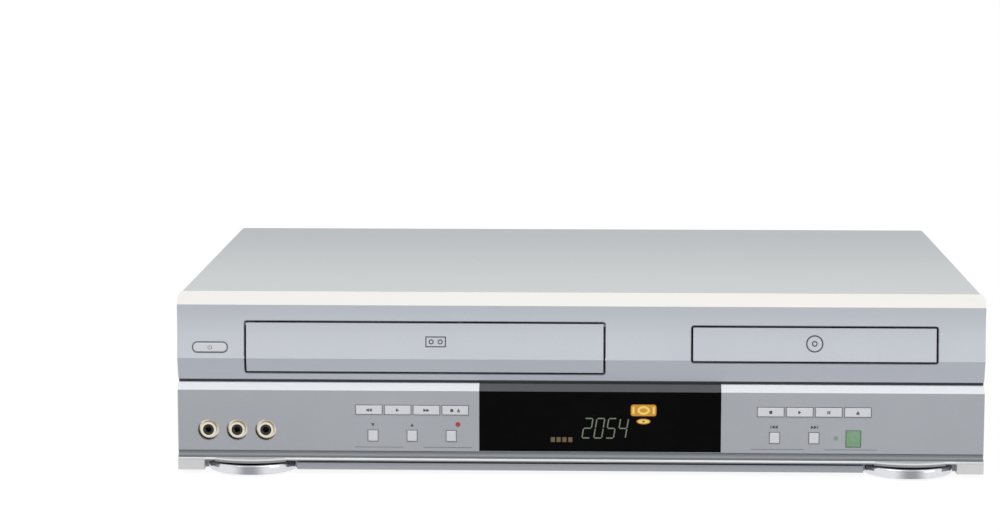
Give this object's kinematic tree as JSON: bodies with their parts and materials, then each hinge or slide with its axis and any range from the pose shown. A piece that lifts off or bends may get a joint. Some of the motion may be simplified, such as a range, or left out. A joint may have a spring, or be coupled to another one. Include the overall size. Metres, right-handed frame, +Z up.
{
  "type": "dvd vcr combo player",
  "caption": "Full-width disc player and video cassette recorder in one case, with a hinged cassette door, a sliding disc tray and push keys.",
  "frame": {"origin": "on the standing surface, below the middle of the whole object", "axes": "+X to the viewer's right, -Y towards the front, +Z up"},
  "size_m": [0.43, 0.297, 0.098],
  "materials": {
    "cover_paint": "fine-textured silver-grey paint",
    "silver_paint": "satin silver paint on moulding",
    "fascia_silver": "satin silver paint on moulding",
    "smoked_window": "polished smoked acrylic",
    "black_moulding": "fine-grained black moulding",
    "rear_steel": "matt black paint",
    "screw_steel": "black oxide",
    "foot_chrome": "bright plated",
    "foot_rubber": "matt",
    "key_silver": "satin silver",
    "key_green": "translucent green",
    "lamp_green": "clear tinted lens",
    "circuit_board": "solder-masked laminate",
    "tube_glass": "dark display glass",
    "jack_nickel": "nickel plated",
    "tin_plate": "tin plated",
    "zinc_steel": "zinc-coated pressing",
    "drum_aluminium": "turned",
    "reel_black": "moulded",
    "capstan_steel": "ground",
    "belt_rubber": "ground rubber",
    "guide_steel": "polished",
    "roller_rubber": "ground rubber",
    "head_alloy": "lapped alloy",
    "motor_steel": "nickel plated can",
    "loader_black": "moulded",
    "tray_black": "fine-grained moulding",
    "gear_white": "acetal",
    "traverse_steel": "pressed steel",
    "pickup_zinc": "die cast"
  },
  "bodies": {
    "root": {"top_cover": "cover_paint", "front_bezel": "silver_paint", "lower_fascia": "fascia_silver", "display_window": "smoked_window", "base_chassis": "black_moulding", "rear_panel": "rear_steel", "case_screws": "screw_steel", "foot_rings": "foot_chrome", "foot_pads": "foot_rubber", "lamp_lens": "lamp_green", "front_board": "circuit_board", "display_tube": "tube_glass", "front_jack_block": "black_moulding", "rear_connectors": "black_moulding", "jack_shells": "jack_nickel", "tuner": "tin_plate", "main_board": "circuit_board", "power_board": "circuit_board", "deck_chassis": "zinc_steel", "lower_drum": "drum_aluminium", "drive_belt": "belt_rubber", "tape_heads": "head_alloy", "loading_motor": "motor_steel", "loader_frame": "loader_black", "tray_gear_motor": "motor_steel"},
    "door": {"cassette_door": "silver_paint"},
    "tray": {"disc_tray": "tray_black", "tray_lid": "silver_paint"},
    "tray_gear": {"tray_gear": "gear_white"},
    "drum": {"upper_drum": "drum_aluminium"},
    "supply_reel": {"supply_reel_table": "reel_black"},
    "takeup_reel": {"takeup_reel_table": "reel_black"},
    "capstan": {"capstan": "capstan_steel"},
    "clutch": {"clutch_pulley": "reel_black"},
    "supply_guide": {"supply_guide": "guide_steel"},
    "takeup_guide": {"takeup_guide": "guide_steel"},
    "pinch_arm": {"pinch_arm": "zinc_steel"},
    "pinch_roller": {"pinch_roller": "roller_rubber"},
    "sledge": {"holder_sledge": "zinc_steel"},
    "holder": {"cassette_holder": "zinc_steel"},
    "traverse": {"traverse": "traverse_steel"},
    "turntable": {"turntable": "reel_black"},
    "clamper": {"disc_clamper": "reel_black"},
    "pickup": {"optical_pickup": "pickup_zinc"},
    "feed_screw": {"feed_screw": "capstan_steel"},
    "power_key": {"power_key": "key_silver"},
    "rewind_key": {"rewind_key": "key_silver"},
    "tape_play_key": {"tape_play_key": "key_silver"},
    "fast_forward_key": {"fast_forward_key": "key_silver"},
    "tape_stop_key": {"tape_stop_key": "key_silver"},
    "channel_down_key": {"channel_down_key": "key_silver"},
    "channel_up_key": {"channel_up_key": "key_silver"},
    "record_key": {"record_key": "key_silver"},
    "disc_stop_key": {"disc_stop_key": "key_silver"},
    "disc_play_key": {"disc_play_key": "key_silver"},
    "pause_key": {"pause_key": "key_silver"},
    "open_close_key": {"open_close_key": "key_silver"},
    "skip_back_key": {"skip_back_key": "key_silver"},
    "skip_forward_key": {"skip_forward_key": "key_silver"},
    "scan_mode_key": {"scan_mode_key": "key_green"}
  },
  "joints": [
    {"name": "door_hinge", "type": "hinge", "parent": "root", "child": "door", "pos_m": [-0.0827, -0.13487, 0.0809], "axis": [1, 0, 0], "range_deg": [0, 80], "stiffness_Nm_per_rad": 0.01, "springref_deg": -17.19},
    {"name": "tray_slide", "type": "slide", "parent": "root", "child": "tray", "axis": [0, -1, 0], "range_m": [0, 0.135]},
    {"name": "tray_gear_spin", "type": "hinge", "parent": "root", "child": "tray_gear", "pos_m": [0.0827, -0.1115, 0.06], "axis": [0, 0, 1], "range_deg": [0, 644.59]},
    {"name": "drum_spin", "type": "hinge", "parent": "root", "child": "drum", "pos_m": [-0.095, 0.0585, 0.047], "axis": [-0.1028, 0, 0.9947], "continuous": true},
    {"name": "supply_reel_spin", "type": "hinge", "parent": "root", "child": "supply_reel", "pos_m": [-0.1287, -0.0315, 0.03], "axis": [0, 0, 1], "continuous": true},
    {"name": "takeup_reel_spin", "type": "hinge", "parent": "root", "child": "takeup_reel", "pos_m": [-0.0367, -0.0315, 0.03], "axis": [0, 0, 1], "continuous": true},
    {"name": "capstan_spin", "type": "hinge", "parent": "root", "child": "capstan", "pos_m": [-0.02, 0.0505, 0.025], "axis": [0, 0, 1], "continuous": true},
    {"name": "clutch_spin", "type": "hinge", "parent": "root", "child": "clutch", "pos_m": [-0.0827, -0.0355, 0.02], "axis": [0, 0, 1], "continuous": true},
    {"name": "supply_guide_slide", "type": "slide", "parent": "root", "child": "supply_guide", "axis": [-0.2747, 0.9615, 0], "range_m": [0, 0.05824]},
    {"name": "takeup_guide_slide", "type": "slide", "parent": "root", "child": "takeup_guide", "axis": [0.2747, 0.9615, 0], "range_m": [0, 0.05824]},
    {"name": "pinch_arm_swing", "type": "hinge", "parent": "root", "child": "pinch_arm", "pos_m": [0.004, 0.0645, 0.028], "axis": [0, 0, -1], "range_deg": [0, 27.99]},
    {"name": "pinch_roller_spin", "type": "hinge", "parent": "pinch_arm", "child": "pinch_roller", "pos_m": [-0.005, 0.0345, 0.035], "axis": [0, 0, 1], "continuous": true},
    {"name": "holder_feed", "type": "slide", "parent": "root", "child": "sledge", "axis": [0, 1, 0], "range_m": [0, 0.024]},
    {"name": "holder_drop", "type": "slide", "parent": "sledge", "child": "holder", "axis": [0, 0, -1], "range_m": [0, 0.025]},
    {"name": "traverse_lift", "type": "hinge", "parent": "root", "child": "traverse", "pos_m": [0.1247, 0.0265, 0.0536], "axis": [-1, 0, 0], "range_deg": [0, 4.18]},
    {"name": "turntable_spin", "type": "hinge", "parent": "traverse", "child": "turntable", "pos_m": [0.1247, -0.0641, 0.062], "axis": [0, 0, 1], "continuous": true},
    {"name": "clamper_spin", "type": "hinge", "parent": "root", "child": "clamper", "pos_m": [0.1247, -0.0641, 0.0749], "axis": [0, 0, 1], "continuous": true},
    {"name": "pickup_slide", "type": "slide", "parent": "traverse", "child": "pickup", "axis": [0, 1, 0], "range_m": [0, 0.034]},
    {"name": "feed_screw_spin", "type": "hinge", "parent": "traverse", "child": "feed_screw", "pos_m": [0.0971, 0.0065, 0.0579], "axis": [0, 1, 0], "range_deg": [0, 4080.01]},
    {"name": "power_key_press", "type": "slide", "parent": "root", "child": "power_key", "axis": [0, 1, 0], "range_m": [0, 0.0005], "stiffness_N_per_m": 400, "springref_m": -0.0008},
    {"name": "rewind_key_press", "type": "slide", "parent": "root", "child": "rewind_key", "axis": [0, 1, 0], "range_m": [0, 0.0005], "stiffness_N_per_m": 400, "springref_m": -0.0008},
    {"name": "tape_play_key_press", "type": "slide", "parent": "root", "child": "tape_play_key", "axis": [0, 1, 0], "range_m": [0, 0.0005], "stiffness_N_per_m": 400, "springref_m": -0.0008},
    {"name": "fast_forward_key_press", "type": "slide", "parent": "root", "child": "fast_forward_key", "axis": [0, 1, 0], "range_m": [0, 0.0005], "stiffness_N_per_m": 400, "springref_m": -0.0008},
    {"name": "tape_stop_key_press", "type": "slide", "parent": "root", "child": "tape_stop_key", "axis": [0, 1, 0], "range_m": [0, 0.0005], "stiffness_N_per_m": 400, "springref_m": -0.0008},
    {"name": "channel_down_key_press", "type": "slide", "parent": "root", "child": "channel_down_key", "axis": [0, 1, 0], "range_m": [0, 0.0005], "stiffness_N_per_m": 400, "springref_m": -0.0008},
    {"name": "channel_up_key_press", "type": "slide", "parent": "root", "child": "channel_up_key", "axis": [0, 1, 0], "range_m": [0, 0.0005], "stiffness_N_per_m": 400, "springref_m": -0.0008},
    {"name": "record_key_press", "type": "slide", "parent": "root", "child": "record_key", "axis": [0, 1, 0], "range_m": [0, 0.0005], "stiffness_N_per_m": 400, "springref_m": -0.0008},
    {"name": "disc_stop_key_press", "type": "slide", "parent": "root", "child": "disc_stop_key", "axis": [0, 1, 0], "range_m": [0, 0.0005], "stiffness_N_per_m": 400, "springref_m": -0.0008},
    {"name": "disc_play_key_press", "type": "slide", "parent": "root", "child": "disc_play_key", "axis": [0, 1, 0], "range_m": [0, 0.0005], "stiffness_N_per_m": 400, "springref_m": -0.0008},
    {"name": "pause_key_press", "type": "slide", "parent": "root", "child": "pause_key", "axis": [0, 1, 0], "range_m": [0, 0.0005], "stiffness_N_per_m": 400, "springref_m": -0.0008},
    {"name": "open_close_key_press", "type": "slide", "parent": "root", "child": "open_close_key", "axis": [0, 1, 0], "range_m": [0, 0.0005], "stiffness_N_per_m": 400, "springref_m": -0.0008},
    {"name": "skip_back_key_press", "type": "slide", "parent": "root", "child": "skip_back_key", "axis": [0, 1, 0], "range_m": [0, 0.0005], "stiffness_N_per_m": 400, "springref_m": -0.0008},
    {"name": "skip_forward_key_press", "type": "slide", "parent": "root", "child": "skip_forward_key", "axis": [0, 1, 0], "range_m": [0, 0.0005], "stiffness_N_per_m": 400, "springref_m": -0.0008},
    {"name": "scan_mode_key_press", "type": "slide", "parent": "root", "child": "scan_mode_key", "axis": [0, 1, 0], "range_m": [0, 0.0005], "stiffness_N_per_m": 400, "springref_m": -0.0008}
  ],
  "couplings": [
    {"joint": "tray_gear_spin", "follows": "tray_slide", "rad_per_m": 83.333},
    {"joint": "clutch_spin", "follows": "capstan_spin", "ratio": 0.64286},
    {"joint": "takeup_guide_slide", "follows": "supply_guide_slide", "ratio": 1},
    {"joint": "clamper_spin", "follows": "turntable_spin", "ratio": 1},
    {"joint": "feed_screw_spin", "follows": "pickup_slide", "rad_per_m": 2094.4}
  ]
}
